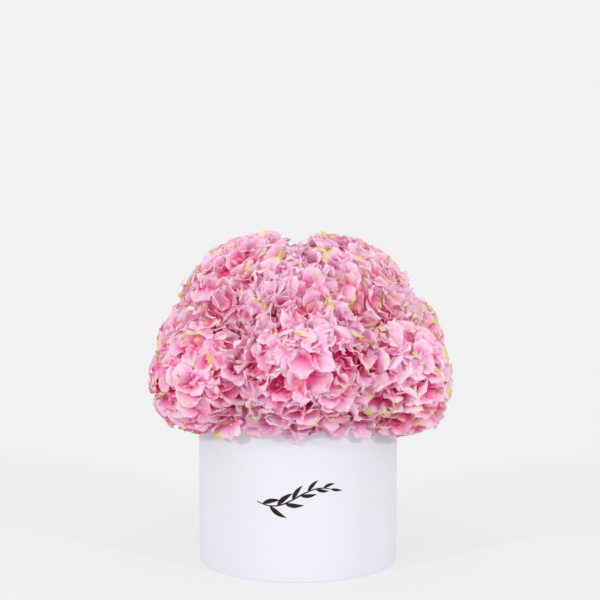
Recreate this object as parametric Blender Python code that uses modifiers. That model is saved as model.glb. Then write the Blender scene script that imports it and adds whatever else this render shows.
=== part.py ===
"""Hydrangeas in a round box: the box, its liner, the floral foam and nine cut stems with their heads.

Metres, +Z up, the front towards -Y. The origin is the centre of the box's underside.
"""

import math

import bmesh
import bpy
from mathutils import Vector

# Box: a tube of board with a disc for a base, which sits inside the tube, flush with its lower edge.
BOX_RADIUS = 0.100
BOX_HEIGHT = 0.155
WALL_BOARD = 0.0025
RIM_CHAMFER = 0.0006
BASE_BOARD = 0.003
BASE_CLEARANCE = 0.0003

# Liner: an open cup of plastic film that keeps the board dry.
LINER_FILM = 0.0008
LINER_CLEARANCE = 0.0006
LINER_BELOW_RIM = 0.006
LINER_CORNER = 0.008
RESTING_GAP = 0.0003

# Foam: a round block that stands in the liner, with room for water round it and above it.
FOAM_CLEARANCE = 0.004
FOAM_BELOW_RIM = 0.022
FOAM_CHAMFER = 0.006

# Stems: each stands in a hole of the foam, leans outwards and ends inside its head.
STEM_RADIUS = 0.004
STEM_CLEARANCE = 0.0003
STEM_DEPTH = 0.070
RING_STEM_INSET = 0.042
CROWN_STEM_RADIUS = 0.020
STEM_END_BELOW_CENTRE = 0.012
RING_STEM_END_INSET = 0.008
CROWN_STEM_END_INSET = 0.012
STEM_POINTS = 6
STEM_LEAN_POWER = 2.0

# Heads: balls of florets that press flat against each other and rest on the rim.
HEAD_GAP = 0.0004
RIM_GAP = 0.0003
SHAFT_RADIUS = 0.044
HEAD_SEGMENTS = 24
HEAD_RINGS = 15
FLORET_BUMPS = 34
BUMP_SPREAD = 0.42
BUMP_HEIGHT = 0.0045

# Ring heads lie over the rim: name, azimuth from the front towards -X in degrees, distance of the
# centre outside the wall's outer face (negative is inside), centre's height above the rim, radius.
RING_HEADS = (
    ("front", -6, -0.020, 0.052, 0.065),
    ("front_left", 67, -0.007, 0.036, 0.062),
    ("back_left", 121, -0.002, 0.050, 0.061),
    ("back", 181, -0.010, 0.036, 0.062),
    ("back_right", 240, 0.000, 0.050, 0.061),
    ("front_right", 292, -0.004, 0.036, 0.062),
)

# Crown heads lie on the ring: name, azimuth, distance of the centre from the axis, centre's height
# above the rim, radius.
CROWN_HEADS = (
    ("crown_left", 103, 0.053, 0.109, 0.060),
    ("crown_right", 256, 0.051, 0.109, 0.060),
    ("crown_front", 2, 0.032, 0.098, 0.056),
)

TURNED_STEPS = 64
WELD = 0.00005

COLOURS = {
    "box_paper": ((0.86, 0.86, 0.90), 0.55),
    "box_board": ((0.72, 0.70, 0.66), 0.90),
    "liner_film": ((0.75, 0.78, 0.80), 0.25),
    "foam": ((0.05, 0.16, 0.06), 0.95),
    "stem_bark": ((0.16, 0.24, 0.07), 0.70),
    "sepal": ((0.80, 0.36, 0.53), 0.60),
}


def clear_scene():
    for obj in list(bpy.data.objects):
        bpy.data.objects.remove(obj, do_unlink=True)


def new_collection(name):
    collection = bpy.data.collections.new(name)
    bpy.context.scene.collection.children.link(collection)
    return collection


def new_material(name):
    colour, roughness = COLOURS[name]
    material = bpy.data.materials.new(name)
    material.use_nodes = True
    shader = material.node_tree.nodes["Principled BSDF"]
    shader.inputs["Base Color"].default_value = (*colour, 1)
    shader.inputs["Roughness"].default_value = roughness
    shader.inputs["Metallic"].default_value = 0
    return material


def add_object(name, data, collection, material):
    obj = bpy.data.objects.new(name, data)
    collection.objects.link(obj)
    if material:
        data.materials.append(material)
    return obj


def turned(name, profile, closed, collection, material):
    """A profile of (radius, height) points, listed from the top down its outer side, turned about Z."""
    mesh = bpy.data.meshes.new(name)
    bm = bmesh.new()
    verts = [bm.verts.new((radius, 0, height)) for radius, height in profile]
    for a, b in zip(verts, verts[1:]):
        bm.edges.new((a, b))
    if closed:
        bm.edges.new((verts[-1], verts[0]))
    bm.to_mesh(mesh)
    bm.free()
    obj = add_object(name, mesh, collection, material)
    screw = obj.modifiers.new("turn", "SCREW")
    screw.steps = TURNED_STEPS
    screw.render_steps = TURNED_STEPS
    screw.use_merge_vertices = True
    screw.merge_threshold = WELD
    screw.use_smooth_shade = False
    return obj


def add_wall(parts):
    inner = BOX_RADIUS - WALL_BOARD
    profile = (
        (BOX_RADIUS - RIM_CHAMFER, BOX_HEIGHT),
        (BOX_RADIUS, BOX_HEIGHT - RIM_CHAMFER),
        (BOX_RADIUS, 0),
        (inner, 0),
        (inner, BOX_HEIGHT - RIM_CHAMFER),
        (inner + RIM_CHAMFER, BOX_HEIGHT),
    )
    return turned("box_wall", profile, True, parts, new_material("box_paper"))


def add_base(parts):
    radius = BOX_RADIUS - WALL_BOARD - BASE_CLEARANCE
    profile = ((0, BASE_BOARD), (radius, BASE_BOARD), (radius, 0), (0, 0))
    return turned("box_base", profile, False, parts, new_material("box_board"))


def liner_radius():
    return BOX_RADIUS - WALL_BOARD - LINER_CLEARANCE


def liner_floor():
    return BASE_BOARD + RESTING_GAP + LINER_FILM


def corner(radius, height, bend, steps=4):
    """Points round the lower outer corner of a cup whose side is at radius and whose floor is at height."""
    points = []
    for i in range(steps + 1):
        angle = math.radians(90) * i / steps
        across = radius - bend + bend * math.cos(angle)
        points.append((across, height + bend - bend * math.sin(angle)))
    return points


def add_liner(parts):
    outer = liner_radius()
    top = BOX_HEIGHT - LINER_BELOW_RIM
    underside = BASE_BOARD + RESTING_GAP
    outside = [(outer, top), *corner(outer, underside, LINER_CORNER), (0, underside)]
    inside = [
        (outer - LINER_FILM, top),
        *corner(outer - LINER_FILM, liner_floor(), LINER_CORNER - LINER_FILM),
        (0, liner_floor()),
    ]
    profile = list(reversed(inside)) + outside
    return turned("liner", profile, False, parts, new_material("liner_film"))


def foam_top():
    return BOX_HEIGHT - FOAM_BELOW_RIM


def add_foam(parts):
    radius = liner_radius() - LINER_FILM - FOAM_CLEARANCE
    bottom = liner_floor() + RESTING_GAP
    profile = (
        (0, foam_top()),
        (radius - FOAM_CHAMFER, foam_top()),
        (radius, foam_top() - FOAM_CHAMFER),
        (radius, bottom + FOAM_CHAMFER),
        (radius - FOAM_CHAMFER, bottom),
        (0, bottom),
    )
    return turned("floral_foam", profile, False, parts, new_material("foam"))


def outward(azimuth):
    """The level direction at this azimuth: 0 is the front, -Y, and 90 is -X."""
    angle = math.radians(azimuth)
    return Vector((-math.sin(angle), -math.cos(angle), 0))


class Head:
    """Where one flower head is, and whether it lies on the rim or on the crown."""

    def __init__(self, name, azimuth, across, lift, radius, on_rim):
        self.name = name
        self.direction = outward(azimuth)
        self.centre = self.direction * across + Vector((0, 0, BOX_HEIGHT + lift))
        self.across = across
        self.radius = radius
        self.on_rim = on_rim


def all_heads():
    heads = []
    for name, azimuth, outside, lift, radius in RING_HEADS:
        heads.append(Head(name, azimuth, BOX_RADIUS + outside, lift, radius, True))
    for name, azimuth, across, lift, radius in CROWN_HEADS:
        heads.append(Head(name, azimuth, across, lift, radius, False))
    return heads


def stem_line(head):
    """Points up the middle of a stem, which starts upright in the foam and leans out towards its head."""
    if head.on_rim:
        foot_radius = BOX_RADIUS - RING_STEM_INSET
        end_radius = head.across - RING_STEM_END_INSET
    else:
        foot_radius = CROWN_STEM_RADIUS
        end_radius = head.across - CROWN_STEM_END_INSET
    foot = head.direction * foot_radius + Vector((0, 0, foam_top() - STEM_DEPTH))
    end_height = head.centre.z - STEM_END_BELOW_CENTRE
    lean = head.direction * (end_radius - foot_radius)
    points = []
    for i in range(STEM_POINTS):
        share = i / (STEM_POINTS - 1)
        height = foot.z + (end_height - foot.z) * share
        level = foot + lean * share**STEM_LEAN_POWER
        points.append(Vector((level.x, level.y, height)))
    return points


def tube_mesh(name, points, radius):
    """A closed round tube along points, as a mesh whose caps are welded on."""
    curve = bpy.data.curves.new(name, "CURVE")
    curve.dimensions = "3D"
    curve.bevel_depth = radius
    curve.bevel_resolution = 2
    curve.use_fill_caps = True
    spline = curve.splines.new("POLY")
    spline.points.add(len(points) - 1)
    for slot, point in zip(spline.points, points):
        slot.co = (*point, 1)
    guide = bpy.data.objects.new(name + "_guide", curve)
    bpy.context.scene.collection.objects.link(guide)
    graph = bpy.context.evaluated_depsgraph_get()
    mesh = bpy.data.meshes.new_from_object(guide.evaluated_get(graph))
    mesh.name = name
    bpy.data.objects.remove(guide, do_unlink=True)
    bpy.data.curves.remove(curve)
    bm = bmesh.new()
    bm.from_mesh(mesh)
    bmesh.ops.remove_doubles(bm, verts=bm.verts, dist=WELD)
    bmesh.ops.recalc_face_normals(bm, faces=bm.faces)
    bm.to_mesh(mesh)
    bm.free()
    mesh.materials.clear()
    return mesh


def lengthened(points, by):
    """The same line with both ends moved outwards along it."""
    first = points[0] + (points[0] - points[1]).normalized() * by
    last = points[-1] + (points[-1] - points[-2]).normalized() * by
    return [first, *points[1:-1], last]


def as_cutter(obj):
    obj.hide_render = True
    obj.display_type = "WIRE"
    return obj


def cut(obj, cutter, label):
    modifier = obj.modifiers.new(label, "BOOLEAN")
    modifier.operation = "DIFFERENCE"
    modifier.solver = "EXACT"
    modifier.object = cutter


def add_stem(name, points, parts, cutters, material):
    """The stem and the cutter for the hole it stands in."""
    add_object("stem_" + name, tube_mesh("stem_" + name, points, STEM_RADIUS), parts, material)
    hole_line = lengthened(points, STEM_CLEARANCE)
    hole = tube_mesh("hole_" + name, hole_line, STEM_RADIUS + STEM_CLEARANCE)
    return as_cutter(add_object("hole_" + name, hole, cutters, None))


def sphere_directions(count, turn):
    """Directions spread evenly over a sphere along a golden spiral that starts at the angle turn."""
    golden = math.pi * (3 - math.sqrt(5))
    directions = []
    for i in range(count):
        height = 1 - (2 * i + 1) / count
        level = math.sqrt(1 - height * height)
        angle = turn + golden * i
        directions.append(Vector((level * math.cos(angle), level * math.sin(angle), height)))
    return directions


def bump_at(direction, bumps):
    """How far the florets at a direction stand out of their head."""
    nearest = min(direction.angle(bump) for bump in bumps)
    return BUMP_HEIGHT * (1 - min(nearest / BUMP_SPREAD, 1.0) ** 2)


def planes_round(head, heads):
    """(distance, direction) from the head's centre of each plane that it stops at."""
    planes = []
    for other in heads:
        if other is head:
            continue
        apart = (other.centre - head.centre).length
        middle = (apart**2 + head.radius**2 - other.radius**2) / (2 * apart)
        planes.append((middle - HEAD_GAP / 2, (other.centre - head.centre) / apart))
    if head.on_rim:
        planes.append((head.across - SHAFT_RADIUS, -head.direction))
    return planes


def head_mesh(head, planes, bumps):
    """A bumpy ball that stops flat at each of the planes."""
    bm = bmesh.new()
    bmesh.ops.create_uvsphere(bm, u_segments=HEAD_SEGMENTS, v_segments=HEAD_RINGS, radius=1)
    for vert in bm.verts:
        direction = vert.co.normalized()
        reach = head.radius + bump_at(direction, bumps)
        for distance, towards in planes:
            facing = direction.dot(towards)
            if facing > 0:
                reach = min(reach, distance / facing)
        vert.co = head.centre + direction * reach
    bmesh.ops.triangulate(bm, faces=bm.faces)
    mesh = bpy.data.meshes.new("head_" + head.name)
    bm.to_mesh(mesh)
    bm.free()
    return mesh


def add_box_room(cutters):
    """The space that the heads leave for the box: its outside, with a gap all round."""
    mesh = bpy.data.meshes.new("box_room")
    bm = bmesh.new()
    height = BOX_HEIGHT + RIM_GAP
    bmesh.ops.create_cone(
        bm,
        cap_ends=True,
        segments=TURNED_STEPS,
        radius1=BOX_RADIUS + RIM_GAP,
        radius2=BOX_RADIUS + RIM_GAP,
        depth=height,
    )
    bmesh.ops.translate(bm, verts=bm.verts, vec=(0, 0, height / 2))
    bm.to_mesh(mesh)
    bm.free()
    return as_cutter(add_object("box_room", mesh, cutters, None))


def add_flowers(foam, parts, cutters):
    heads = all_heads()
    box_room = add_box_room(cutters)
    bark = new_material("stem_bark")
    sepal = new_material("sepal")
    for i, head in enumerate(heads):
        hole = add_stem(head.name, stem_line(head), parts, cutters, bark)
        cut(foam, hole, hole.name)
        mesh = head_mesh(head, planes_round(head, heads), sphere_directions(FLORET_BUMPS, i))
        ball = add_object(mesh.name, mesh, parts, sepal)
        if head.on_rim:
            cut(ball, box_room, "rests_on_box")
        cut(ball, hole, "socket")


def main():
    clear_scene()
    parts = new_collection("hydrangea_box")
    cutters = new_collection("cutters")
    add_wall(parts)
    add_base(parts)
    add_liner(parts)
    foam = add_foam(parts)
    add_flowers(foam, parts, cutters)


main()
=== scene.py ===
"""The looks of a round box of hydrangeas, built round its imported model.

Metres, +Z up, the front towards -Y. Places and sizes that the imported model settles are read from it.
"""

import math
from typing import NamedTuple

import bpy
import numpy as np
from bpy.props import FloatProperty, FloatVectorProperty, IntProperty, PointerProperty
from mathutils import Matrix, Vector
from mathutils.bvhtree import BVHTree


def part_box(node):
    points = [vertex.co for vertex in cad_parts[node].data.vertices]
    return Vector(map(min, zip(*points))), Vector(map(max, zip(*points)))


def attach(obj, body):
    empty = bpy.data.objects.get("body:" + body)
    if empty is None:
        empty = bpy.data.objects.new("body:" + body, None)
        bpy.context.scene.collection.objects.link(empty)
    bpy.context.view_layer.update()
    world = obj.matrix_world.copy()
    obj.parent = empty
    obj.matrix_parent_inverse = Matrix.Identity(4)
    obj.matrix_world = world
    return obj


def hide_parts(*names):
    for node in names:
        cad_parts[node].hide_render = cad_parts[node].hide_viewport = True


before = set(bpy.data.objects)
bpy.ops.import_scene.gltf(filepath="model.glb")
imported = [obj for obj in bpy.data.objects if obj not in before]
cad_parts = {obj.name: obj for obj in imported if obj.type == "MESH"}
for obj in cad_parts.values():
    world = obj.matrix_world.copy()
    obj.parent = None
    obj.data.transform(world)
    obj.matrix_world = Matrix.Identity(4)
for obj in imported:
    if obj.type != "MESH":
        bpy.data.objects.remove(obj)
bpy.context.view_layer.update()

bl_info = {
    "name": "Hydrangeas in a Box",
    "version": (1, 0, 0),
    "blender": (4, 5, 0),
    "location": "3D View > Sidebar > Flower Box",
    "description": "Builds a round paper box filled with hydrangea heads",
    "category": "Add Mesh",
}

WALL_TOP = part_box("box_wall")[1]
BOX_RADIUS = WALL_TOP.x
RIM = WALL_TOP.z
HEADS = sorted(name[len("head_"):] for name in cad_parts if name.startswith("head_"))
STEMS = ["stem_" + head for head in HEADS]


# Settings ---------------------------------------------------------------------------------------------


def length(name, description, default):
    return FloatProperty(
        name=name, description=description, default=default, min=0, subtype="DISTANCE"
    )


def share(name, description, default):
    return FloatProperty(
        name=name, description=description, default=default, min=0, max=1, subtype="FACTOR"
    )


def power(name, description, default):
    return FloatProperty(name=name, description=description, default=default, min=0)


def slope(name, description, degrees):
    return FloatProperty(
        name=name, description=description, default=math.radians(degrees), subtype="ANGLE"
    )


def whole(name, description, default, low=0):
    return IntProperty(name=name, description=description, default=default, min=low)


def colour(name, description, default):
    return FloatVectorProperty(
        name=name, description=description, default=default, size=3, min=0, max=1, subtype="COLOR"
    )


class BoxSettings(bpy.types.PropertyGroup):
    """Sizes and colours of the round box and of what stands in it"""

    board: length("Board", "Thickness of the wall's board", 0.0025)
    edge_round: length("Edge rounding", "Radius of the wrapped edges at the rim and the foot", 0.0007)
    turn_in: length("Turn-in", "How far the wrapping paper is turned in over the rim", 0.020)
    paper: length("Paper", "Thickness of the wrapping paper", 0.0002)
    seam_width: length("Seam width", "Width of the glued overlap down the back", 0.014)
    facets: whole("Facets", "Faces round the wall", 180, low=24)
    paper_colour: colour("Paper colour", "Colour of the wrapping paper", (0.63, 0.635, 0.682))
    board_colour: colour("Board colour", "Colour of the bare board", (0.66, 0.65, 0.62))
    liner_colour: colour("Liner colour", "Colour of the liner's film", (0.74, 0.77, 0.79))
    foam_colour: colour("Foam colour", "Colour of the wet foam", (0.045, 0.14, 0.055))
    bark_colour: colour("Bark colour", "Colour of the stems", (0.17, 0.26, 0.07))


class FloretSettings(bpy.types.PropertyGroup):
    """Sizes, numbers and colours of the florets"""

    outer_count: whole("Outer florets", "Florets on a whole ball", 150)
    inner_count: whole("Inner florets", "Deeper florets on a whole ball", 56)
    outer_inset: length("Outer inset", "Depth of the outer florets' centres", 0.0080)
    inner_inset: length("Inner inset", "Depth of the inner florets' centres", 0.0190)
    sepal_length: length("Sepal length", "Usual length of a sepal", 0.0232)
    sepal_width: length("Sepal width", "Usual width of a sepal", 0.0238)
    sepal_thickness: length("Sepal thickness", "Thickness of a sepal at its middle", 0.0004)
    ruffle: length("Ruffle", "Height of the waves along a sepal's edges", 0.0034)
    bud: length("Bud", "Radius of the bud at a floret's centre", 0.0015)
    merge: length("Merging", "How softly neighbouring heads run into each other", 0.012)
    stalk: length("Stalk", "Radius of a floret's stalk", 0.0006)
    seed: whole("Seed", "Seed of the florets' variation", 11)
    heart: colour("Heart colour", "Sepal colour near the floret's centre", (0.945, 0.18, 0.52))
    body: colour("Body colour", "Colour over most of a sepal", (0.955, 0.715, 0.90))
    edge: colour("Edge colour", "Colour along a sepal's edges", (0.94, 0.84, 0.885))
    cream: colour("Cream colour", "Colour towards the tip of an older sepal", (0.95, 0.85, 0.66))
    green: colour("Green colour", "Colour of a green tip", (0.72, 0.80, 0.20))
    # Painted shade: dark magenta painted onto sepals that lie far inside a head, where shade falls; it
    # also tints the light through a sepal.
    deep_shade_pink: colour("Deep colour", "Colour of the sepals deep in a head", (0.94, 0.04, 0.32))
    bud_colour: colour("Bud colour", "Colour of the buds", (0.80, 0.74, 0.50))
    stalk_colour: colour("Stalk colour", "Colour of the florets' stalks", (0.50, 0.34, 0.20))


class SprigSettings(bpy.types.PropertyGroup):
    """Size and place of the foil sprig on the front of the box"""

    span: length("Span", "Width of the sprig round the wall", 0.074)
    height: length("Height", "Height of the sprig's middle above the ground", 0.086)
    leaf: length("Leaf", "Length of the largest leaf", 0.021)
    proud: length("Foil", "How far the foil stands proud of the paper", 0.00012)
    foil_colour: colour("Foil colour", "Colour of the foil", (0.030, 0.022, 0.016))


class StageSettings(bpy.types.PropertyGroup):
    """Floor, light and camera"""

    distance: length("Distance", "From the camera to the foot of the box", 3.0)
    elevation: slope("Elevation", "Camera's height as an angle", 15)
    aim: slope("Aim", "How far the camera aims above the foot", 5)
    frame_width: length("Frame width", "Width of the view at the box's foot", 0.6138)
    floor_tone: share("Floor tone", "How much light the floor returns", 0.20)
    floor_glow: share("Floor glow", "How brightly the floor is lit from below", 0.625)
    backdrop_tone: share("Backdrop tone", "Brightness of the backdrop", 0.871)
    sky_tone: share("Sky tone", "Brightness of the surroundings as they light the scene", 1.0)
    key: power("Key", "Strength of the light from the front left", 1.0)
    fill: power("Fill", "Strength of the light from the front right", 0.95)
    low: power("Low", "Strength of the low light from the front", 0.30)
    softness: slope("Softness", "Angle that each light spans", 6)


class FlowerBoxSettings(bpy.types.PropertyGroup):
    """All settings of the box of hydrangeas"""

    box: PointerProperty(type=BoxSettings)
    floret: PointerProperty(type=FloretSettings)
    sprig: PointerProperty(type=SprigSettings)
    stage: PointerProperty(type=StageSettings)


# Shader helpers ---------------------------------------------------------------------------------------


class Wiring:
    """Adds nodes to a shader tree and joins them."""

    def __init__(self, tree):
        self.tree = tree

    def feed(self, socket, value):
        if isinstance(value, bpy.types.NodeSocket):
            self.tree.links.new(value, socket)
        elif socket.type == "RGBA" and len(value) == 3:
            socket.default_value = (*value, 1)
        else:
            socket.default_value = value

    def node(self, kind, inputs=(), **settings):
        made = self.tree.nodes.new(kind)
        for key, value in settings.items():
            setattr(made, key, value)
        for key, value in dict(inputs).items():
            self.feed(made.inputs[key], value)
        return made

    def maths(self, operation, *values):
        made = self.tree.nodes.new("ShaderNodeMath")
        made.operation = operation
        for socket, value in zip(made.inputs, values):
            self.feed(socket, value)
        return made.outputs[0]

    def spot(self):
        """The point's place on its object."""
        return self.node("ShaderNodeTexCoord").outputs["Object"]

    def times(self, first, second):
        return self.maths("MULTIPLY", first, second)

    def plus(self, first, second):
        return self.maths("ADD", first, second)

    def ramp(self, value, low, high, to_low=0.0, to_high=1.0):
        """value eased from to_low at low up to to_high at high."""
        made = self.node(
            "ShaderNodeMapRange",
            {"Value": value, "From Min": low, "From Max": high, "To Min": to_low, "To Max": to_high},
            interpolation_type="SMOOTHSTEP",
        )
        return made.outputs[0]

    def blend(self, factor, first, second, mode="MIX"):
        """Two colours mixed, by the node's own colour sockets: 6 and 7 in, and 2 out."""
        made = self.tree.nodes.new("ShaderNodeMix")
        made.data_type = "RGBA"
        made.blend_type = mode
        self.feed(made.inputs[0], factor)
        self.feed(made.inputs[6], first)
        self.feed(made.inputs[7], second)
        return made.outputs[2]

    def group(self, tree, **values):
        made = self.tree.nodes.new("ShaderNodeGroup")
        made.node_tree = tree
        for key, value in values.items():
            self.feed(made.inputs[key], value)
        return made


def new_group(name, inputs, outputs):
    """A shader group with these named sockets, and its wiring and end nodes."""
    tree = bpy.data.node_groups.new(name, "ShaderNodeTree")
    for socket, kind, default in inputs:
        made = tree.interface.new_socket(socket, in_out="INPUT", socket_type=kind)
        if default is not None:
            made.default_value = default
    for socket, kind in outputs:
        tree.interface.new_socket(socket, in_out="OUTPUT", socket_type=kind)
    wiring = Wiring(tree)
    return tree, wiring, wiring.node("NodeGroupInput"), wiring.node("NodeGroupOutput")


def grain_group():
    """Fine grain: a mask of small soft specks, for paper fibre, board, foam, bark and petal skin."""
    name = "Fine Grain"
    if name in bpy.data.node_groups:
        return bpy.data.node_groups[name]
    tree, w, given, result = new_group(
        name,
        (
            ("Vector", "NodeSocketVector", None),
            ("Scale", "NodeSocketFloat", 800.0),
            ("Stretch", "NodeSocketFloat", 1.0),
            ("Contrast", "NodeSocketFloat", 1.0),
        ),
        (("Grain", "NodeSocketFloat"),),
    )
    wide = w.node("ShaderNodeCombineXYZ", {"X": 1.0, "Y": 1.0, "Z": given.outputs["Stretch"]})
    place = w.node("ShaderNodeVectorMath", operation="MULTIPLY")
    w.feed(place.inputs[0], given.outputs["Vector"])
    w.feed(place.inputs[1], wide.outputs[0])
    noise = w.node(
        "ShaderNodeTexNoise",
        {"Vector": place.outputs[0], "Scale": given.outputs["Scale"], "Detail": 4.0, "Roughness": 0.6},
    )
    centred = w.maths("SUBTRACT", noise.outputs["Fac"], 0.5)
    scaled = w.times(centred, given.outputs["Contrast"])
    w.feed(result.inputs["Grain"], w.plus(scaled, 0.5))
    return tree


def drift_group():
    """Colour drift: a colour that wanders slowly in tone over a surface."""
    name = "Colour Drift"
    if name in bpy.data.node_groups:
        return bpy.data.node_groups[name]
    tree, w, given, result = new_group(
        name,
        (
            ("Vector", "NodeSocketVector", None),
            ("Colour", "NodeSocketColor", (0.8, 0.8, 0.8, 1)),
            ("Scale", "NodeSocketFloat", 20.0),
            ("Amount", "NodeSocketFloat", 0.1),
        ),
        (("Colour", "NodeSocketColor"),),
    )
    noise = w.node(
        "ShaderNodeTexNoise",
        {"Vector": given.outputs["Vector"], "Scale": given.outputs["Scale"], "Detail": 3.0},
    )
    centred = w.maths("SUBTRACT", noise.outputs["Fac"], 0.5)
    swing = w.times(centred, given.outputs["Amount"])
    tone = w.node(
        "ShaderNodeHueSaturation",
        {"Value": w.plus(swing, 1.0), "Color": given.outputs["Colour"]},
    )
    w.feed(result.inputs["Colour"], tone.outputs[0])
    return tree


def new_material(name):
    """A material with an empty tree but for its output, and its wiring."""
    material = bpy.data.materials.new(name)
    material.use_nodes = True
    material.node_tree.nodes.clear()
    w = Wiring(material.node_tree)
    return material, w, w.node("ShaderNodeOutputMaterial")


def finish_matte(w, out, colour, rough, normal):
    """Closes a material that is neither metal nor see-through."""
    inputs = {"Base Color": colour, "Roughness": rough, "Normal": normal}
    w.feed(out.inputs["Surface"], w.node("ShaderNodeBsdfPrincipled", inputs).outputs[0])


def wear(node_name, material):
    """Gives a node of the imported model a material, with its mesh left as it is."""
    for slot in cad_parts[node_name].material_slots:
        slot.material = material


# Materials --------------------------------------------------------------------------------------------


class Finish(NamedTuple):
    """How fine and how strong a grained material's marks are"""

    grain: float
    drift: float
    roughness: float
    bump: float
    stretch: float = 1.0
    patches: float = 25.0


FINISHES = {
    "grey_board": Finish(grain=700.0, drift=0.16, roughness=0.86, bump=0.5),
    "liner_film": Finish(grain=60.0, drift=0.10, roughness=0.28, bump=0.8),
    "wet_foam": Finish(grain=1300.0, drift=0.5, roughness=0.9, bump=1.0),
    "stem_bark": Finish(grain=420.0, drift=0.45, roughness=0.66, bump=0.6, stretch=0.18, patches=90.0),
    "bud_skin": Finish(grain=1500.0, drift=0.3, roughness=0.55, bump=0.4, patches=300.0),
    "stalk_skin": Finish(grain=900.0, drift=0.3, roughness=0.6, bump=0.4, patches=80.0),
}


def grained_material(name, tint):
    """A matte material with a drifting colour, fine grain in its roughness and a little relief."""
    finish = FINISHES[name]
    material, w, out = new_material(name)
    place = w.spot()
    grain = w.group(
        grain_group(), Vector=place, Scale=finish.grain, Stretch=finish.stretch, Contrast=1.4
    )
    drift = w.group(
        drift_group(), Vector=place, Colour=tint, Scale=finish.patches, Amount=finish.drift
    )
    speck = w.ramp(grain.outputs[0], 0.2, 0.8, 1 - finish.drift / 2, 1.0)
    toned = w.blend(1.0, drift.outputs[0], speck, "MULTIPLY")
    relief = w.node(
        "ShaderNodeBump", {"Strength": finish.bump, "Distance": 0.0003, "Height": grain.outputs[0]}
    )
    rough = w.ramp(grain.outputs[0], 0.1, 0.9, finish.roughness - 0.06, finish.roughness + 0.06)
    finish_matte(w, out, toned, rough, relief.outputs[0])
    return material


def paper_material(tint):
    """Matte white wrapping paper with faint fibres, a little rubbed at the rim and the foot."""
    material, w, out = new_material("wrapping_paper")
    place = w.spot()
    fibre = w.group(grain_group(), Vector=place, Scale=1400.0, Stretch=0.6, Contrast=1.5)
    drift = w.group(drift_group(), Vector=place, Colour=tint, Scale=9.0, Amount=0.03)
    height = w.node("ShaderNodeSeparateXYZ", {"Vector": place}).outputs["Z"]
    worn_foot, worn_rim, bare = 0.0022, 0.0016, (0.60, 0.59, 0.57)
    at_foot = w.ramp(height, 0.0, worn_foot, 1.0, 0.0)
    at_rim = w.ramp(height, RIM - worn_rim, RIM)
    scuff = w.group(grain_group(), Vector=place, Scale=260.0, Stretch=1.0, Contrast=3.0)
    rubbed = w.times(w.maths("MAXIMUM", at_foot, at_rim), w.ramp(scuff.outputs[0], 0.45, 0.9))
    worn = w.blend(w.times(rubbed, 0.35), drift.outputs[0], bare)
    speck = w.ramp(fibre.outputs[0], 0.1, 0.9, 0.985, 1.0)
    toned = w.blend(1.0, worn, speck, "MULTIPLY")
    relief = w.node("ShaderNodeBump", {"Strength": 0.10, "Distance": 0.0002, "Height": fibre.outputs[0]})
    rough = w.ramp(fibre.outputs[0], 0.1, 0.9, 0.50, 0.62)
    finish_matte(w, out, toned, rough, relief.outputs[0])
    return material


def foil_material(tint):
    """Dark hot-stamped foil with a soft, slightly broken shine."""
    material, w, out = new_material("dark_foil")
    place = w.spot()
    grain = w.group(grain_group(), Vector=place, Scale=900.0, Stretch=1.0, Contrast=1.6)
    drift = w.group(drift_group(), Vector=place, Colour=tint, Scale=60.0, Amount=0.5)
    shader = w.node(
        "ShaderNodeBsdfPrincipled",
        {
            "Base Color": drift.outputs[0],
            "Metallic": 0.85,
            "Roughness": w.ramp(grain.outputs[0], 0.2, 0.8, 0.26, 0.42),
        },
    )
    w.feed(out.inputs["Surface"], shader.outputs[0])
    return material


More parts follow.
